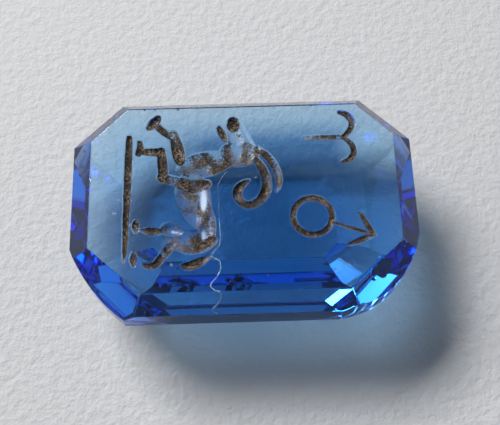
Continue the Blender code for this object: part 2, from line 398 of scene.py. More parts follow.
@dataclass(frozen=True)
class Paper:
    """Pale sheet under the stone, with a faint grain."""

    tone: tuple[float, ...] = (0.6, 0.605, 0.615)
    grain_height: float = 0.00024
    grain_size: float = 0.00052

    def material(self) -> bpy.types.Material:
        """Build the material.

        Returns:
            The paper's material.
        """
        bench = Bench("paper")
        fibres = bench.grain(self.grain_size, 4.0, 0.62)
        bump = bench.node("ShaderNodeBump", {}, {"Strength": 0.5, "Distance": self.grain_height,
                                                 "Height": fibres})
        return bench.finish(bench.node("ShaderNodeBsdfPrincipled", {}, {
            "Base Color": rgb(*self.tone), "Roughness": 0.9, "Normal": bump.outputs["Normal"]}))


@dataclass(frozen=True)
class Stroke:
    """One cut of the wheel: stations of place and half width along its middle."""

    places: np.ndarray
    widths: np.ndarray
    depth_share: float
    soil: float
    frost: float = 1.0
    closed: bool = False

    def smooth(self, steps: int) -> tuple[np.ndarray, np.ndarray]:
        """Add points between the stations, on a curve through them all.

        Args:
            steps: how many points each span gets.

        Returns:
            The points and their half widths.
        """
        joined = np.column_stack([self.places, self.widths])
        if self.closed:
            padded = np.vstack([joined[-1], joined, joined[:2]])
        else:
            padded = np.vstack([joined[0], joined, joined[-1]])
        spans = []
        share = np.linspace(0.0, 1.0, steps, endpoint=False)[:, None]
        for before, start, end, after in zip(padded, padded[1:], padded[2:], padded[3:]):
            spans.append(-before * share * (1 - share) ** 2 / 2
                         + start * (1 - share * share * (5 - 3 * share) / 2)
                         + end * share * (1 + share * (4 - 3 * share)) / 2
                         - after * share * share * (1 - share) / 2)
        curve = np.vstack(spans + [joined[:1] if self.closed else joined[-1:]])
        return curve[:, :2], curve[:, 2]

    def cut(self, points: np.ndarray, steps: int) -> tuple[np.ndarray, np.ndarray]:
        """Work out this stroke at many points of the table.

        Args:
            points: the points, one per row.
            steps: how finely the stroke is followed.

        Returns:
            How far each point is outside the stroke's rim, and how deep the stroke is there.
        """
        places, widths = self.smooth(steps)
        outside = np.full(len(points), 1.0)
        depth = np.zeros(len(points))
        for start, end, wide, next_wide in zip(places, places[1:], widths, widths[1:]):
            along = end - start
            length = float(along @ along)
            share = np.clip((points - start) @ along / max(length, 1e-18), 0.0, 1.0)
            away = np.linalg.norm(points - start - share[:, None] * along, axis=1)
            half = wide + (next_wide - wide) * share
            outside = np.minimum(outside, away - half)
            inner = np.clip(1.0 - (away / np.maximum(half, 1e-9)) ** 2, 0.0, 1.0)
            depth = np.maximum(depth, half * self.depth_share * inner ** 0.7)
        return outside, depth


@dataclass
class Engraving:
    """The figure and signs cut into the table."""

    ram_height: float = 0.0076
    ground_x: float = -0.00585
    ground_y: float = 0.0
    line_depth: float = 0.85
    body_depth: float = 0.42
    steps: int = 8
    look_around: float = 0.0005
    usual_soil: float = 0.85
    # Share of the dirt taken away where a painted highlight lies.
    highlight_clears_soil: float = 0.9
    strokes: list[Stroke] = field(default_factory=list)

    GROUND = [(0.44, 0.011, 0.013), (0.38, 0.007, 0.027), (-0.02, 0.0, 0.026), (-0.33, -0.004, 0.02),
              (-0.44, -0.01, 0.008)]
    LIMBS = {
        "raised_hoof": [(0.5, 0.135, 0.02), (0.533, 0.17, 0.036), (0.568, 0.2, 0.026)],
        "raised_shank": [(0.53, 0.18, 0.026), (0.476, 0.232, 0.028), (0.437, 0.292, 0.031)],
        "raised_forearm": [(0.451, 0.306, 0.03), (0.347, 0.331, 0.046), (0.273, 0.345, 0.042),
                           (0.24, 0.345, 0.02)],
        "fore_hoof": [(0.395, 0.078, 0.021), (0.347, 0.082, 0.029), (0.314, 0.072, 0.024)],
        "fore_shank": [(0.328, 0.09, 0.022), (0.325, 0.149, 0.031), (0.319, 0.216, 0.034)],
        "fore_forearm": [(0.33, 0.223, 0.032), (0.226, 0.232, 0.037), (0.13, 0.238, 0.036)],
        "fore_shoulder": [(0.142, 0.225, 0.033), (0.1, 0.337, 0.038), (0.083, 0.429, 0.041),
                          (0.081, 0.53, 0.031)],
        "thigh": [(-0.25, 0.35, 0.03), (-0.226, 0.285, 0.052), (-0.225, 0.235, 0.026)],
        "hind_shank": [(-0.238, 0.221, 0.016), (-0.236, 0.16, 0.031), (-0.227, 0.102, 0.016)],
        "hind_hoof": [(-0.168, 0.061, 0.018), (-0.202, 0.061, 0.029), (-0.236, 0.062, 0.018)],
        "back_shank": [(-0.315, 0.318, 0.032), (-0.367, 0.267, 0.033), (-0.426, 0.223, 0.029),
                       (-0.462, 0.191, 0.028), (-0.47, 0.147, 0.024), (-0.459, 0.115, 0.013)],
        "back_hoof": [(-0.377, 0.051, 0.016), (-0.421, 0.052, 0.028), (-0.46, 0.053, 0.016)],
        "tail": [(-0.416, 0.535, 0.014), (-0.441, 0.496, 0.029), (-0.466, 0.439, 0.034),
                 (-0.477, 0.394, 0.029), (-0.47, 0.364, 0.014)],
        "jaw": [(0.49, 0.614, 0.02), (0.449, 0.632, 0.028), (0.4, 0.652, 0.02)],
        "snout_tip": [(0.525, 0.709, 0.042), (0.505, 0.71, 0.045)],
        "far_horn": [(0.331, 0.867, 0.02), (0.277, 0.925, 0.028), (0.218, 0.969, 0.028),
                     (0.145, 0.996, 0.028), (0.073, 1.003, 0.022), (0.016, 0.984, 0.011)],
        "near_horn": [(0.243, 0.86, 0.025), (0.184, 0.895, 0.031), (0.111, 0.919, 0.034),
                      (0.04, 0.919, 0.036), (-0.026, 0.887, 0.035), (-0.07, 0.82, 0.031),
                      (-0.061, 0.762, 0.03), (-0.011, 0.727, 0.034), (0.038, 0.731, 0.033),
                      (0.076, 0.765, 0.026), (0.097, 0.802, 0.015)],
    }
    MASSES = {
        "chest": [(0.192, 0.36, 0.04), (0.219, 0.45, 0.08), (0.224, 0.53, 0.093), (0.243, 0.617, 0.073),
                  (0.248, 0.69, 0.035)],
        "head": [(0.292, 0.638, 0.024), (0.292, 0.685, 0.08), (0.292, 0.742, 0.097), (0.292, 0.798, 0.08),
                 (0.295, 0.845, 0.026)],
        "snout": [(0.5, 0.71, 0.04), (0.46, 0.714, 0.05), (0.42, 0.722, 0.055), (0.35, 0.735, 0.062)],
        "cheek": [(0.52, 0.755, 0.012), (0.43, 0.79, 0.026), (0.35, 0.83, 0.026), (0.29, 0.87, 0.012)],
        "ribs": [(0.13, 0.42, 0.06), (0.041, 0.429, 0.112), (-0.03, 0.442, 0.111), (-0.115, 0.461, 0.091),
                 (-0.18, 0.47, 0.05)],
        "loin": [(-0.05, 0.5, 0.04), (-0.172, 0.518, 0.06), (-0.274, 0.517, 0.058), (-0.34, 0.478, 0.04)],
        "haunch": [(-0.301, 0.275, 0.035), (-0.309, 0.35, 0.071), (-0.319, 0.427, 0.083),
                   (-0.314, 0.498, 0.071), (-0.309, 0.56, 0.032)],
    }
    SOIL = {"ribs": 0.1, "chest": 0.3, "head": 0.36, "snout": 0.3, "cheek": 0.0, "loin": 0.5, "haunch": 0.26,
            "thigh": 0.36, "far_horn": 0.5, "near_horn": 0.75, "back_shank": 0.5, "tail": 0.72,
            "hind_shank": 0.66, "hind_hoof": 0.66, "back_hoof": 0.7, "ground_line": 1.0, "snout_tip": 1.0,
            "fore_shoulder": 0.62}
    PATCHES = [(-0.02, 0.41, 0.08, 0.6), (0.235, 0.5, 0.11, 0.32), (0.2, 0.63, 0.06, 0.45),
               (0.28, 0.78, 0.09, 0.3), (-0.35, 0.45, 0.08, 0.4), (-0.31, 0.53, 0.04, 0.5),
               (-0.4, 0.28, 0.05, 0.3), (-0.45, 0.19, 0.04, 0.4), (0.28, 0.9, 0.04, 0.4)]
    # Painted highlights: pale spots on a few cut walls that stand for glints; ahead, up, length and width as
    # shares of the ram's height.
    PAINTED_HIGHLIGHTS = [(0.0, 0.502, 0.066, 0.024), (-0.06, 0.502, 0.045, 0.018), (-0.27, 0.5, 0.032, 0.016),
              (-0.355, 0.235, 0.045, 0.011), (0.335, 0.885, 0.018, 0.012)]

    def _ram_stroke(self, name: str, stations: Sequence[tuple[float, ...]], depth: float) -> Stroke:
        """Place one stroke of the ram, which stands with its feet towards the stone's left end.

        Args:
            name: the stroke's name.
            stations: ahead, up and half width, as shares of the ram's height.
            depth: the stroke's depth as a share of its half width.

        Returns:
            The stroke.
        """
        rows = np.array(stations)
        places = np.column_stack([self.ground_x + rows[:, 1] * self.ram_height,
                                  self.ground_y + rows[:, 0] * self.ram_height])
        return Stroke(places, rows[:, 2] * self.ram_height, depth, self.SOIL.get(name, self.usual_soil))

    def cut_ram(self) -> None:
        """Add the strokes of the ram and of the line it stands on."""
        self.strokes.append(self._ram_stroke("ground_line", self.GROUND, self.line_depth))
        for name, stations in self.LIMBS.items():
            self.strokes.append(self._ram_stroke(name, stations, self.line_depth))
        for name, stations in self.MASSES.items():
            self.strokes.append(self._ram_stroke(name, stations, self.body_depth))

    def cut_signs(self, signs: Iterable["HornSign | RingSign"]) -> None:
        """Add the strokes of the two sky signs.

        Args:
            signs: the signs.
        """
        for sign in signs:
            self.strokes.extend(sign.strokes(self.line_depth))

    def measure(self, points: np.ndarray) -> "CutField":
        """Work out the whole engraving at many points of the table.

        Args:
            points: the points, one per row.

        Returns:
            The field at those points.
        """
        outside = np.full(len(points), 1.0)
        depth = np.zeros(len(points))
        soil = np.zeros(len(points))
        frost = np.ones(len(points))
        for stroke in self.strokes:
            margin = float(stroke.widths.max()) * 1.5 + self.look_around
            low = stroke.places.min(0) - margin
            high = stroke.places.max(0) + margin
            near = np.flatnonzero(np.all((points > low) & (points < high), axis=1))
            if not len(near):
                continue
            away, deep = stroke.cut(points[near], self.steps)
            outside[near] = np.minimum(outside[near], away)
            within = away < 0.0
            soil[near[within]] = np.maximum(soil[near[within]], stroke.soil)
            frost[near[within]] = stroke.frost
            depth[near] = np.maximum(depth[near], deep)
        for ahead, up, radius, strength in self.PATCHES:
            middle = np.array([self.ground_x + up * self.ram_height, self.ground_y + ahead * self.ram_height])
            spread = np.linalg.norm(points - middle, axis=1) / (radius * self.ram_height)
            soil += strength * np.exp(-spread ** 2)
        # Painted highlights: frost is raised above 1 and dirt is taken away there.
        for ahead, up, tall, wide in self.PAINTED_HIGHLIGHTS:
            aside = (points[:, 0] - self.ground_x - up * self.ram_height) / (wide * self.ram_height)
            along = (points[:, 1] - self.ground_y - ahead * self.ram_height) / (tall * self.ram_height)
            light = np.exp(-(aside ** 2 + along ** 2))
            frost += light
            soil *= 1.0 - self.highlight_clears_soil * light
        return CutField(outside, depth, soil, frost)


@dataclass(frozen=True)
class CutField:
    """The engraving at a set of points: distance outside the nearest rim, depth, dirt, and frost that above 1
    is a painted highlight.
    """

    outside: np.ndarray
    depth: np.ndarray
    soil: np.ndarray
    frost: np.ndarray


@dataclass(frozen=True)
class HornSign:
    """The ram's sign: a stem along X that parts into two curling horns."""

    x: float = 0.00322
    y: float = 0.00303
    stem: float = 0.00198
    reach: float = 0.00138
    line: float = 0.00032
    stem_soil: float = 0.62
    horn_soil: float = 0.9
    curl: tuple[tuple[float, float, float], ...] = (
        (0.0, 0.0, 0.9), (0.27, 0.3, 1.1), (0.34, 0.62, 1.15), (0.16, 0.9, 1.1), (-0.1, 1.0, 0.7))

    def strokes(self, depth: float) -> list[Stroke]:
        """The sign's strokes.

        Args:
            depth: their depth as a share of their half width.

        Returns:
            The stem and the two horns.
        """
        half = self.line / 2.0
        fork = np.array([self.x + self.stem, self.y])
        stem = np.array([[self.x, self.y], [self.x + self.stem / 2.0, self.y], fork])
        made = [Stroke(stem, np.array([half, half, half]), depth, self.stem_soil)]
        for turn in (1.0, -1.0):
            places = np.array([fork + self.reach * np.array([along, turn * out])
                               for along, out, _ in self.curl])
            widths = np.array([half * share for _, _, share in self.curl])
            made.append(Stroke(places, widths, depth, self.horn_soil))
        return made


@dataclass(frozen=True)
class RingSign:
    """The war planet's sign: a ring with an arrow."""

    x: float = 0.00335
    y: float = -0.00124
    radius: float = 0.00096
    line: float = 0.00034
    arrow_turn: float = math.radians(-20.0)
    arrow_length: float = 0.0022
    arrow_line: float = 0.00021
    barb_length: float = 0.0013
    barb_line: float = 0.00032
    barb_spreads: tuple[float, float] = (math.radians(138.0), math.radians(219.0))
    ring_steps: int = 28
    taper: float = 0.7
    soil: float = 0.9

    def _straight(self, start: np.ndarray, end: np.ndarray, line: float, depth: float) -> Stroke:
        """A straight stroke that is a little slimmer at both ends.

        Args:
            start: where it starts.
            end: where it ends.
            line: its width.
            depth: its depth as a share of its half width.

        Returns:
            The stroke.
        """
        half = line / 2.0
        places = np.array([start, (start + end) / 2.0, end])
        return Stroke(places, np.array([half * self.taper, half, half * self.taper]), depth, self.soil)

    def strokes(self, depth: float) -> list[Stroke]:
        """The sign's strokes.

        Args:
            depth: their depth as a share of their half width.

        Returns:
            The ring, the arrow's shaft and its two barbs.
        """
        middle = np.array([self.x, self.y])
        turns = np.arange(self.ring_steps) * math.tau / self.ring_steps
        ring = middle + self.radius * np.column_stack([np.cos(turns), np.sin(turns)])
        made = [Stroke(ring, np.full(self.ring_steps, self.line / 2.0), depth, self.soil, closed=True)]
        heading = np.array([math.cos(self.arrow_turn), math.sin(self.arrow_turn)])
        root = middle + heading * self.radius
        tip = root + heading * self.arrow_length
        made.append(self._straight(root, tip, self.arrow_line, depth))
        for spread in self.barb_spreads:
            back = np.array([math.cos(self.arrow_turn + spread), math.sin(self.arrow_turn + spread)])
            made.append(self._straight(tip, tip + back * self.barb_length, self.barb_line, depth))
        return made


@dataclass(frozen=True)
class Wear:
    """How one kind of edge is chipped: which way it faces from the middle, how thickly and how large."""

    table: bool
    turn_from: float
    turn_to: float
    per_metre: float
    smallest: float
    largest: float

    def takes(self, at_table: bool, turn: float) -> bool:
        """Whether an edge is of this kind.

        Args:
            at_table: whether the edge bounds the table.
            turn: the direction that it faces, seen from above, in degrees.

        Returns:
            True if it is.
        """
        return self.table == at_table and self.turn_from <= turn < self.turn_to


@dataclass
class Surface:
    """The table's specks: crumbs of dirt and tiny pits, some placed and some strewn."""

    crumbs: tuple[tuple[float, float, float], ...] = (
        (-0.00748, 0.00154, 0.00004), (-0.00733, 0.00099, 0.00003), (0.00232, 0.00258, 0.000035),
        (-0.00501, 0.0048, 0.00004), (-0.00449, 0.00478, 0.00005), (-0.00329, 0.00478, 0.00005))
    pits: tuple[tuple[float, float, float], ...] = (
        (-0.00645, -0.0008, 0.00006), (-0.00627, -0.00011, 0.00005), (-0.00362, -0.00355, 0.00006),
        (-0.00105, 0.0016, 0.00004), (0.0006, 0.0009, 0.00004))
    strewn: int = 60
    strewn_smallest: float = 0.000012
    strewn_largest: float = 0.00003
    strewn_reach: float = 0.93
    strewn_dirty: float = 0.25
    seed: int = 11

    def strokes(self, reach: Vector) -> list[Stroke]:
        """The specks as very short strokes.

        Args:
            reach: half the table's length and width.

        Returns:
            The strokes.
        """
        made = [self._speck(x, y, size, 0.15, 1.0, 0.2) for x, y, size in self.crumbs]
        made += [self._speck(x, y, size, 0.5, 0.0, 1.0) for x, y, size in self.pits]
        strewer = random.Random(self.seed)
        for _ in range(self.strewn):
            x = strewer.uniform(-reach.x, reach.x) * self.strewn_reach
            y = -reach.y * self.strewn_reach + 2.0 * self.strewn_reach * reach.y * strewer.random() ** 1.6
            size = strewer.uniform(self.strewn_smallest, self.strewn_largest)
            dirty = strewer.random() < self.strewn_dirty
            made.append(self._speck(x, y, size, 0.4, 0.9 if dirty else 0.0, 1.0))
        return made

    @staticmethod
    def _speck(x: float, y: float, size: float, depth: float, soil: float, frost: float) -> Stroke:
        """One speck.

        Args:
            x: its place along the stone.
            y: its place across the stone.
            size: its radius.
            depth: its depth as a share of its radius.
            soil: how dirty it is.
            frost: how rough it is.

        Returns:
            The stroke.
        """
        places = np.array([[x - size / 3.0, y], [x + size / 3.0, y + size / 4.0]])
        return Stroke(places, np.array([size, size * 0.8]), depth, soil, frost)


@dataclass
class SealStone:
    """The ground, chipped and engraved stone."""

    engraving: Engraving
    surface: Surface
    finish: SealGlass
    edge_round: float = 0.000035
    wear: tuple[Wear, ...] = (
        Wear(True, 150.0, 225.0, 9000.0, 0.00004, 0.00012),
        Wear(True, -225.0, -150.0, 9000.0, 0.00004, 0.00012),
        Wear(True, -35.0, 30.0, 4000.0, 0.00004, 0.0001),
        Wear(True, -60.0, -35.0, 3500.0, 0.00005, 0.00014),
        Wear(True, -90.0, -45.0, 1500.0, 0.00003, 0.00006),
        Wear(True, -180.0, 181.0, 1500.0, 0.00003, 0.00007),
        Wear(False, -62.0, -8.0, 1500.0, 0.00009, 0.00026),
        Wear(False, -180.0, 181.0, 350.0, 0.00004, 0.0001))
    fine_step: float = 0.000032
    middle_step: float = 0.00009
    coarse_step: float = 0.0005
    fine_margin: float = 0.00005
    middle_margin: float = 0.0003
    rim_band: float = 0.00005
    rim_fade: float = 0.00003
    tooth: float = 0.000005
    tooth_size: float = 0.00012
    patch_scale: float = 0.22
    patch_strength: float = 0.45
    soil_fill: float = 0.22
    sharp_turn: float = math.radians(12.0)
    rim_turn: float = math.radians(40.0)
    left_haze: float = 0.0048
    far_haze: float = 0.0013
    far_haze_line: float = 0.845
    least_haze: float = 0.06
    right_haze: float = 0.55
    right_haze_along: tuple[float, float] = (0.0026, 0.0036)
    right_haze_across: tuple[float, float] = (0.0026, 0.002)
    # Where the table carries painted shade, as shares of its half length and half width: around the ram and on
    # the far side.
    painted_shade_end: tuple[float, float] = (0.33, 0.17)
    painted_shade_left: tuple[float, float] = (-0.8, -0.3)
    painted_shade_near: tuple[float, float] = (-0.33, -0.23)
    painted_shade_near_share: float = 0.38
    painted_shade_edge: tuple[float, float] = (0.72, 0.5)
    far_painted_shade_side: tuple[float, float] = (0.15, 0.23)
    far_painted_shade_left: tuple[float, float] = (-0.5, -0.2)
    far_painted_shade_end: tuple[float, float] = (0.68, 0.52)
    chip_floor: float = 0.45
    chip_frost: float = 0.7
    seed: int = 7

    def build(self) -> bpy.types.Object:
        """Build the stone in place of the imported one.

        Returns:
            The stone's object.
        """
        shell = self._chipped(self._ground_shell())
        self._engrave_table(shell)
        data = bpy.data.meshes.new("engraved_stone")
        shell.to_mesh(data)
        loose = sum(1 for edge in shell.edges if not edge.is_manifold)
        shell.free()
        data.materials.append(self.finish.material())
        stone = bpy.data.objects.new("engraved_stone", data)
        bpy.context.scene.collection.objects.link(stone)
        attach(stone, BODY)
        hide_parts(STONE_NODE)
        log.info("engraved stone: %d faces, %d open edges", len(data.polygons), loose)
        return stone

    def _ground_shell(self) -> bmesh.types.BMesh:
        """Grind the stone again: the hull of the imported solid.

        Returns:
            The shell, closed, with a flat table and sharp edges.
        """
        shell = bmesh.new()
        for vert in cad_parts[STONE_NODE].data.vertices:
            shell.verts.new(vert.co)
        hull = bmesh.ops.convex_hull(shell, input=shell.verts)
        inner = {item for key in ("geom_interior", "geom_unused") for item in hull[key]
                 if isinstance(item, bmesh.types.BMVert)}
        bmesh.ops.delete(shell, geom=list(inner), context="VERTS")
        bmesh.ops.recalc_face_normals(shell, faces=shell.faces)
        bmesh.ops.dissolve_limit(shell, angle_limit=math.radians(0.2), verts=shell.verts, edges=shell.edges)
        return shell

    def _chipped(self, shell: bmesh.types.BMesh) -> bmesh.types.BMesh:
        """Round the stone's edges a little and knock small chips out of them.

        Args:
            shell: the sharp shell, which is used up.

        Returns:
            The worn shell.
        """
        top = max(vert.co.z for vert in shell.verts)
        chooser = random.Random(self.seed)
        scoops = bmesh.new()
        shell.loops.layers.float.new(Mark.FROST_AND_HIGHLIGHT.value)
        chipped = scoops.loops.layers.float.new(Mark.FROST_AND_HIGHLIGHT.value)
        worn = [edge for edge in shell.edges if edge.calc_face_angle(0.0) > self.sharp_turn]
        for edge in sorted(worn, key=lambda each: tuple(each.verts[0].co) + tuple(each.verts[1].co)):
            self._chip_edge(scoops, edge, top, chooser)
        for loop in (loop for face in scoops.faces for loop in face.loops):
            loop[chipped] = self.chip_frost
        bmesh.ops.bevel(shell, geom=worn, offset=self.edge_round, segments=2, profile=0.6, affect="EDGES",
                        clamp_overlap=True)
        bmesh.ops.recalc_face_normals(shell, faces=shell.faces)
        solid = self._as_object("worn_stone", shell)
        tools = self._as_object("chip_scoops", scoops)
        cut = solid.modifiers.new("chips", "BOOLEAN")
        cut.operation = "DIFFERENCE"
        cut.solver = "EXACT"
        cut.use_self = True
        cut.object = tools
        worn_shell = bmesh.new()
        worn_shell.from_object(solid, bpy.context.evaluated_depsgraph_get())
        for spent in (solid, tools):
            bpy.data.objects.remove(spent, do_unlink=True)
        bmesh.ops.remove_doubles(worn_shell, verts=worn_shell.verts, dist=2e-7)
        open_edges = [edge for edge in worn_shell.edges if edge.is_boundary]
        bmesh.ops.holes_fill(worn_shell, edges=open_edges, sides=0)
        for face in worn_shell.faces:
            face.smooth = True
        for edge in worn_shell.edges:
            edge.smooth = False
        log.info("worn shell: %d faces", len(worn_shell.faces))
        return worn_shell

    def _chip_edge(self, scoops: bmesh.types.BMesh, edge: bmesh.types.BMEdge, top: float,
                   chooser: random.Random) -> None:
        """Add the scoops that chip one edge.

        Args:
            scoops: the mesh that gathers them.
            edge: the edge.
            top: the table's height.
            chooser: the source of chance.
        """
        first, second = (vert.co for vert in edge.verts)
        middle = (first + second) / 2.0
        if middle.z < top * self.chip_floor:
            return
        at_table = min(first.z, second.z) > top - LEVEL
        turn = math.degrees(math.atan2(middle.y / CAD_HIGH.y, middle.x / CAD_HIGH.x))
        kind = next(wear for wear in self.wear if wear.takes(at_table, turn))
        count = (second - first).length * kind.per_metre
        outward = sum((face.normal for face in edge.link_faces), Vector()).normalized()
        for _ in range(int(count) + (chooser.random() < count % 1.0)):
            radius = kind.smallest + (kind.largest - kind.smallest) * chooser.random() ** 2.0
            along = first.lerp(second, chooser.uniform(0.02, 0.98))
            center = along + outward * radius * chooser.uniform(0.35, 0.8)
            turned = Matrix.Rotation(chooser.uniform(0.0, math.pi), 4, (0.3, 0.5, 0.8))
            stretch = Matrix.Diagonal((chooser.uniform(0.8, 1.5), chooser.uniform(0.8, 1.5), 1.0, 1.0))
            bmesh.ops.create_icosphere(scoops, subdivisions=1, radius=radius,
                                       matrix=Matrix.Translation(center) @ turned @ stretch)

    @staticmethod
    def _as_object(name: str, mesh: bmesh.types.BMesh) -> bpy.types.Object:
        """Put a mesh into the scene for a while.

        Args:
            name: the object's name.
            mesh: its mesh, which is used up.

        Returns:
            The object.
        """
        data = bpy.data.meshes.new(name)
        mesh.to_mesh(data)
        mesh.free()
        made = bpy.data.objects.new(name, data)
        bpy.context.scene.collection.objects.link(made)
        return made

    def _table_outline(self, shell: bmesh.types.BMesh) -> list[bmesh.types.BMVert]:
        """Open the table and walk round its rim.

        Args:
            shell: the closed shell; its table's faces are taken out.

        Returns:
            The rim's vertices in order, seen from above against the clock.
        """
        top = max(vert.co.z for vert in shell.verts)
        table = [face for face in shell.faces
                 if face.normal.z > 0.9999 and face.calc_center_median().z > top - LEVEL]
        bmesh.ops.delete(shell, geom=table, context="FACES")
        waiting = {edge: None for edge in shell.edges if edge.is_boundary}
        loops = []
        while waiting:
            start, _ = waiting.popitem()
            loop = [start.verts[0], start.verts[1]]
            while loop[-1] is not loop[0]:
                following = next((edge for edge in loop[-1].link_edges if edge in waiting), None)
                if following is None:
                    break
                waiting.pop(following)
                loop.append(following.other_vert(loop[-1]))
            loops.append(loop[:-1])
        loop = max(loops, key=len)
        if len(loops) > 1:
            log.warning("shell had %d openings", len(loops))
        area = sum(a.co.x * b.co.y - b.co.x * a.co.y for a, b in zip(loop, loop[1:] + loop[:1]))
        return loop if area > 0.0 else loop[::-1]

    @staticmethod
    def _lattice(low: np.ndarray, high: np.ndarray, step: float) -> np.ndarray:
        """A lattice of even triangles over a rectangle.

        Args:
            low: its low corner.
            high: its high corner.
            step: the distance between neighbours.

        Returns:
            The points, one per row.
        """
        x, y = np.meshgrid(np.arange(low[0], high[0], step),
                           np.arange(low[1], high[1], step * math.sqrt(3.0) / 2.0))
        x[1::2] += step / 2.0
        return np.column_stack([x.ravel(), y.ravel()])

    @staticmethod
    def _room_inside(points: np.ndarray, corners: np.ndarray) -> np.ndarray:
        """How far each point is inside an outline.

        Args:
            points: the points, one per row.
            corners: the outline's corners, in order.

        Returns:
            The distance to the outline, negative outside it.
        """
        nearest = np.full(len(points), np.inf)
        crossings = np.zeros(len(points), int)
        x, y = points[:, 0], points[:, 1]
        for start, end in zip(corners, np.roll(corners, -1, axis=0)):
            along = end - start
            share = np.clip((points - start) @ along / max(float(along @ along), 1e-18), 0.0, 1.0)
            nearest = np.minimum(nearest, np.linalg.norm(points - start - share[:, None] * along, axis=1))
            if abs(along[1]) > 1e-12:
                at = start[0] + (y - start[1]) / along[1] * along[0]
                crossings += ((y >= min(start[1], end[1])) & (y < max(start[1], end[1])) & (x < at))
        return np.where(crossings % 2 == 1, nearest, -nearest)

    def _chosen_points(self, corners: np.ndarray) -> tuple[np.ndarray, CutField]:
        """Pick the points of the engraved table: close together in the cuts, far apart where it is flat.

        Args:
            corners: the table's rim.

        Returns:
            The points and the engraving there.
        """
        low, high = corners.min(0), corners.max(0)
        points, fields = [], []
        for step, nearest, farthest in ((self.fine_step, -1.0, self.fine_margin),
                                        (self.middle_step, self.fine_margin, self.middle_margin),
                                        (self.coarse_step, self.middle_margin, 9.0)):
            lattice = self._lattice(low, high, step)
            cut = self.engraving.measure(lattice)
            chosen = (cut.outside > nearest) & (cut.outside <= farthest)
            chosen[chosen] = self._room_inside(lattice[chosen], corners) > min(step, self.middle_step) * 0.7
            points.append(lattice[chosen])
            fields.append([part[chosen] for part in (cut.outside, cut.depth, cut.soil, cut.frost)])
        return np.vstack(points), CutField(*[np.concatenate(parts) for parts in zip(*fields)])

    def _engrave_table(self, shell: bmesh.types.BMesh) -> None:
        """Fill the opened table with its engraved surface.

        Args:
            shell: the stone's shell.
        """
        layers = {mark: shell.loops.layers.float.get(mark.value) or shell.loops.layers.float.new(mark.value)
                  for mark in Mark}
        rim = self._table_outline(shell)
        top = rim[0].co.z
        corners = np.array([[vert.co.x, vert.co.y] for vert in rim])
        self.engraving.strokes.extend(self.surface.strokes(Vector(corners.max(0))))
        points, cut = self._chosen_points(corners)
        soil, frost, haze, drop = self._marks(points, cut)
        # Haze and painted shade at the rim, and painted shade at the points.
        rim_haze, rim_painted_shade = self._haze(corners), self._painted_shade(corners)
        painted_shade = self._painted_shade(points)
        count = len(rim)
        flat = [Vector(place) / MILLIMETRE for place in np.vstack([corners, points])]
        sides = [(index, (index + 1) % count) for index in range(count)]
        places, _, faces, sources, _, _ = delaunay_2d_cdt(flat, sides, [list(range(count))], 1, 1e-6, True)
        origins = [min(source) if source else 0 for source in sources]
        verts, values = [], []
        for place, index in zip(places, origins):
            own = index - count
            if own < 0:
                verts.append(rim[index])
                values.append((0.0, 0.0, rim_haze[index], rim_painted_shade[index]))
            else:
                verts.append(shell.verts.new((*(place * MILLIMETRE), top - drop[own])))
                values.append((soil[own], frost[own], haze[own], painted_shade[own]))
        for face in self._inside_rim(faces, origins, count):
            patch = shell.faces.new([verts[index] for index in face])
            patch.smooth = True
            for loop, index in zip(patch.loops, face):
                for mark, value in zip((Mark.SOIL, Mark.FROST_AND_HIGHLIGHT, Mark.HAZE, Mark.PAINTED_SHADE), values[index]):
                    loop[layers[mark]] = value
        shell.normal_update()
        for edge in {edge for vert in verts for edge in vert.link_edges}:
            if edge.calc_face_angle(0.0) > self.rim_turn:
                edge.smooth = False

    @staticmethod
    def _inside_rim(faces: list[list[int]], origins: list[int], count: int) -> list[list[int]]:
        """Leave out the slivers between the rim and its hull: they have only rim corners and a free side.

        Args:
            faces: the triangles, as corner numbers.
            origins: which point each corner came from; the rim's points come first.
            count: how many points the rim has.

        Returns:
            The triangles inside the rim.
        """
        rim = {frozenset((index, (index + 1) % count)) for index in range(count)}
        kept = [(face, [frozenset((origins[a], origins[b])) for a, b in zip(face, face[1:] + face[:1])])
                for face in faces]
        uses = Counter(side for _, sides in kept for side in sides)
        while True:
            inner, outer = [], []
            for face, sides in kept:
                at_rim = max(origins[corner] for corner in face) < count
                free = at_rim and any(uses[side] == 1 and side not in rim for side in sides)
                (outer if free else inner).append((face, sides))
            if not outer:
                return [face for face, _ in inner]
            uses.subtract(side for _, sides in outer for side in sides)
            kept = inner

    def _haze(self, points: np.ndarray) -> np.ndarray:
        """The haze that handling left on the table, strong at the left end and along the far edge.

        Args:
            points: the points.

        Returns:
            The haze there.
        """
        from_left = (points[:, 0] + CAD_HIGH.x) / self.left_haze
        from_far = (CAD_HIGH.y * self.far_haze_line - points[:, 1]) / self.far_haze
        right = ramp(points[:, 0], self.right_haze_along) * ramp(points[:, 1], self.right_haze_across)
        return np.clip(np.exp(-np.abs(from_left) ** 1.5) + np.exp(-np.abs(from_far) ** 2.0) * 0.9
                       + self.least_haze + self.right_haze * right, 0.0, 1.0)

    def _painted_shade(self, points: np.ndarray) -> np.ndarray:
        """Painted shade that darkens the glass around the ram and on the far side, for the shade that falls
        under the stone.

        Args:
            points: the points.

        Returns:
            The painted shade there.
        """
        x, y = points[:, 0] / CAD_HIGH.x, points[:, 1] / CAD_HIGH.y
        edge = ramp(y, self.painted_shade_edge)
        near = self.painted_shade_near_share * ramp(y, self.painted_shade_near) * edge * ramp(x, self.painted_shade_end)
        far = ramp(y, self.far_painted_shade_side) * edge * ramp(x, self.far_painted_shade_end) * ramp(x, self.far_painted_shade_left)
        return np.maximum(near * ramp(x, self.painted_shade_left), far)

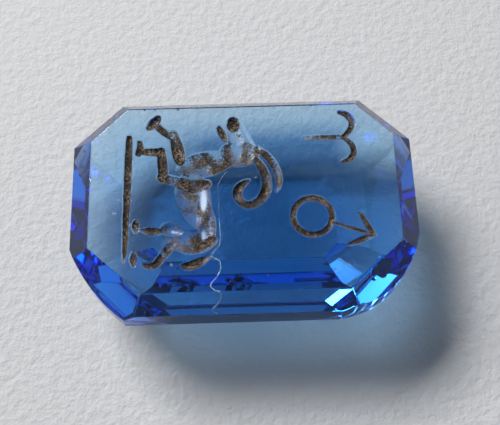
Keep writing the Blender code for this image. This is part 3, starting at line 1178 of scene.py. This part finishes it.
    def _marks(self, points: np.ndarray, cut: CutField) -> tuple[np.ndarray, ...]:
        """Work out what each point of the table carries.

        Args:
            points: the points.
            cut: the engraving there.

        Returns:
            Dirt, frost that above 1 is a painted highlight, haze and the drop below the table.
        """
        inside = cut.outside < 0.0
        spots = [Vector((x, y, 0.0)) / self.tooth_size for x, y in points]
        fine = np.array([noise.noise(spot) for spot in spots])
        aside = Vector((7.0, 3.0, 1.0))
        broad = np.array([noise.noise(spot * self.patch_scale + aside) for spot in spots])
        share = np.clip(-cut.outside / self.rim_band, 0.0, 1.0)
        soil = np.where(inside, np.clip(cut.soil + broad * self.patch_strength, 0.0, 1.0) * share, 0.0)
        frost = cut.frost * np.clip(1.0 - cut.outside / self.rim_fade, 0.0, 1.0)
        haze = self._haze(points) * (1.0 - frost)
        teeth = np.where(inside, fine * self.tooth * (1.0 + 2.0 * soil), 0.0)
        filled = cut.depth * (1.0 - self.soil_fill * soil)
        return soil, frost, haze, np.maximum(filled + teeth, 0.0) * inside


@dataclass(frozen=True)
class CrackLine:
    """One hair crack, seen from above: the places that it runs through and its width."""

    name: str
    places: tuple[tuple[float, float], ...]
    width: float = 0.000028


@dataclass
class HairCracks:
    """Hair cracks just under the surface: thin standing blades that follow it down over the table's edge."""

    stone: bpy.types.Object
    finish: CrackGlass
    lines: tuple[CrackLine, ...] = (
        CrackLine("hair_crack_long", (
            (-0.00072, 0.00136), (-0.00108, 0.00097), (-0.00131, 0.00046), (-0.0013, -0.00005),
            (-0.00126, -0.00064), (-0.00125, -0.00158), (-0.00124, -0.00251), (-0.00149, -0.00286),
            (-0.00171, -0.00316))),
        CrackLine("hair_crack_lower", (
            (-0.00171, -0.00316), (-0.0014, -0.00332), (-0.00126, -0.00348), (-0.00124, -0.00378),
            (-0.00132, -0.00403), (-0.00146, -0.00425), (-0.00173, -0.00456), (-0.00171, -0.00471),
            (-0.00155, -0.00484)), 0.00004),
        CrackLine("hair_crack_edge", (
            (-0.00157, -0.00486), (-0.00131, -0.00494), (-0.00125, -0.0051), (-0.00131, -0.00524),
            (-0.00146, -0.00538), (-0.00167, -0.00552), (-0.00168, -0.00563), (-0.00145, -0.00571)), 0.00005),
        CrackLine("hair_crack_right", (
            (0.00446, -0.00345), (0.00464, -0.00356), (0.00478, -0.00366), (0.00501, -0.0038),
            (0.00524, -0.00403))),
        CrackLine("hair_crack_small", ((0.00431, -0.00415), (0.00452, -0.00398), (0.00472, -0.00386))),
        CrackLine("hair_crack_nick", ((0.00764, -0.00233), (0.00767, -0.0025))))
    height: float = 0.00011
    cover: float = 0.000006
    steps: int = 5
    shake: float = 0.000025

    def build(self) -> list[bpy.types.Object]:
        """Build every crack.

        Returns:
            Their objects.
        """
        material = self.finish.material()
        return [self._blade(line, material) for line in self.lines]

    def _blade(self, line: CrackLine, material: bpy.types.Material) -> bpy.types.Object:
        """Build one crack.

        Args:
            line: where it runs.
            material: its material.

        Returns:
            Its object.
        """
        stations = np.array(line.places)
        middle, _ = Stroke(stations, np.ones(len(stations)), 0.0, 0.0).smooth(self.steps)
        mesh = bmesh.new()
        rings = []
        for index, (x, y) in enumerate(middle):
            ahead = middle[min(index + 1, len(middle) - 1)] - middle[max(index - 1, 0)]
            across = Vector((-ahead[1], ahead[0], 0.0)).normalized() * line.width / 2.0
            across *= 0.35 if index in (0, len(middle) - 1) else 1.0
            jog = noise.noise(Vector((x, y, 0.0)) / 0.0001) * self.shake
            head = Vector((x + jog, y + jog, self._height(x, y) - self.cover))
            foot = head - Vector((0.0, 0.0, self.height))
            rings.append([mesh.verts.new(place)
                          for place in (head - across, head + across, foot + across, foot - across)])
        for ring, following in zip(rings, rings[1:]):
            for side in range(4):
                after = (side + 1) % 4
                mesh.faces.new((ring[side], ring[after], following[after], following[side]))
        mesh.faces.new(rings[0])
        mesh.faces.new(reversed(rings[-1]))
        bmesh.ops.recalc_face_normals(mesh, faces=mesh.faces)
        data = bpy.data.meshes.new(line.name)
        mesh.to_mesh(data)
        mesh.free()
        data.materials.append(material)
        blade = bpy.data.objects.new(line.name, data)
        bpy.context.scene.collection.objects.link(blade)
        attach(blade, BODY)
        log.info("%s: %d faces", line.name, len(data.polygons))
        return blade

    def _height(self, x: float, y: float) -> float:
        """The height of the stone's surface above a place.

        Args:
            x: the place along the stone.
            y: the place across the stone.

        Returns:
            The height.
        """
        start = Vector((x, y, CAD_HIGH.z * 2.0))
        hit, place, _, _ = self.stone.ray_cast(start, Vector((0.0, 0.0, -1.0)))
        return place.z if hit else CAD_HIGH.z / 2.0


@dataclass(frozen=True)
class Table:
    """The plain pale sheet that the stone lies on."""

    finish: Paper
    half_size: float = 1.2
    gap: float = 0.00002

    def build(self) -> bpy.types.Object:
        """Lay the sheet under the stone.

        Returns:
            The sheet's object.
        """
        level = CAD_LOW.z - self.gap
        reach = self.half_size
        corners = [(-reach, -reach, level), (reach, -reach, level),
                   (reach, reach, level), (-reach, reach, level)]
        data = bpy.data.meshes.new("paper_sheet")
        data.from_pydata(corners, [], [(0, 1, 2, 3)])
        data.materials.append(self.finish.material())
        sheet = bpy.data.objects.new("paper_sheet", data)
        bpy.context.scene.collection.objects.link(sheet)
        log.info("paper sheet laid at %.5f m", level)
        return sheet


@dataclass(frozen=True)
class Lamp:
    """A flat soft light that faces the stone."""

    name: str
    turn: float
    rise: float
    distance: float
    width: float
    height: float
    power: float

    def build(self) -> bpy.types.Object:
        """Hang the light.

        Returns:
            The light's object.
        """
        turn, rise = math.radians(self.turn), math.radians(self.rise)
        toward = Vector((math.sin(turn) * math.cos(rise), math.cos(turn) * math.cos(rise), math.sin(rise)))
        panel = bpy.data.lights.new(self.name, "AREA")
        panel.shape = "RECTANGLE"
        panel.size = self.width
        panel.size_y = self.height
        panel.energy = self.power
        lamp = bpy.data.objects.new(self.name, panel)
        lamp.location = toward * self.distance
        lamp.rotation_euler = toward.to_track_quat("Z", "Y").to_euler()
        bpy.context.scene.collection.objects.link(lamp)
        return lamp


@dataclass(frozen=True)
class Studio:
    """A wide soft window behind and left, a pale wall to the right, and a dim room."""

    lamps: tuple[Lamp, ...] = (Lamp("window", -42.0, 43.5, 0.4, 0.22, 0.11, 2.08),
                               Lamp("side_window", -71.0, 28.0, 0.4, 0.13, 0.09, 0.17),
                               Lamp("pale_wall", 85.0, 24.0, 0.5, 0.6, 0.22, 0.3),
                               Lamp("left_wall", -98.0, 36.0, 0.5, 0.26, 0.3, 0.12),
                               Lamp("ceiling", 5.0, 80.5, 0.5, 0.22, 0.1, 0.018))
    room_colour: tuple[float, ...] = (0.8, 0.87, 1.0)
    room_strength: float = 0.045
    bounces: int = 24

    def build(self) -> None:
        """Add the lights and the room."""
        for lamp in self.lamps:
            lamp.build()
        room = bpy.data.worlds.new("room")
        room.use_nodes = True
        shade = room.node_tree.nodes["Background"]
        shade.inputs["Color"].default_value = rgb(*self.room_colour)
        shade.inputs["Strength"].default_value = self.room_strength
        bpy.context.scene.world = room
        bpy.context.scene.view_settings.view_transform = "Standard"
        cycles = bpy.context.scene.cycles
        cycles.max_bounces = cycles.transmission_bounces = self.bounces
        cycles.glossy_bounces = self.bounces
        log.info("studio light set")


@dataclass(frozen=True)
class Viewpoint:
    """The camera, at the photograph's angle: it looks down on the table from the near side."""

    focal_pixels: float = 767.66
    picture_width: float = 500.0
    sensor: float = 36.0
    tilt: float = math.radians(20.0)
    yaw: float = math.radians(2.04)
    roll: float = math.radians(-0.27)
    aside: float = 0.0003
    above: float = -0.00091
    distance: float = 0.0383

    def build(self) -> None:
        """Place the camera and make it the scene's own."""
        turned = Matrix.Rotation(self.roll, 3, "Z") @ Matrix.Rotation(-self.tilt, 3, "X")
        turned = turned @ Matrix.Rotation(self.yaw, 3, "Z")
        upright = turned.transposed()
        place = upright @ Vector((self.aside, self.above, self.distance)) + Vector((0.0, 0.0, CAD_HIGH.z))
        lens = bpy.data.cameras.new("viewpoint")
        lens.sensor_width = self.sensor
        lens.lens = self.focal_pixels / self.picture_width * self.sensor
        lens.clip_start = MILLIMETRE
        camera = bpy.data.objects.new("viewpoint", lens)
        camera.matrix_world = Matrix.Translation(place) @ upright.to_4x4()
        bpy.context.scene.collection.objects.link(camera)
        bpy.context.scene.camera = camera
        log.info("camera at %s", [round(part, 5) for part in place])


def main() -> None:
    """Build the stone, its table and light, and the camera."""
    logging.basicConfig(level=logging.INFO, format="%(name)s: %(message)s")
    Viewpoint().build()
    engraving = Engraving()
    engraving.cut_ram()
    engraving.cut_signs((HornSign(), RingSign()))
    stone = SealStone(engraving, Surface(), SealGlass()).build()
    HairCracks(stone, CrackGlass()).build()
    Table(Paper()).build()
    Studio().build()


if __name__ == "__main__":
    main()
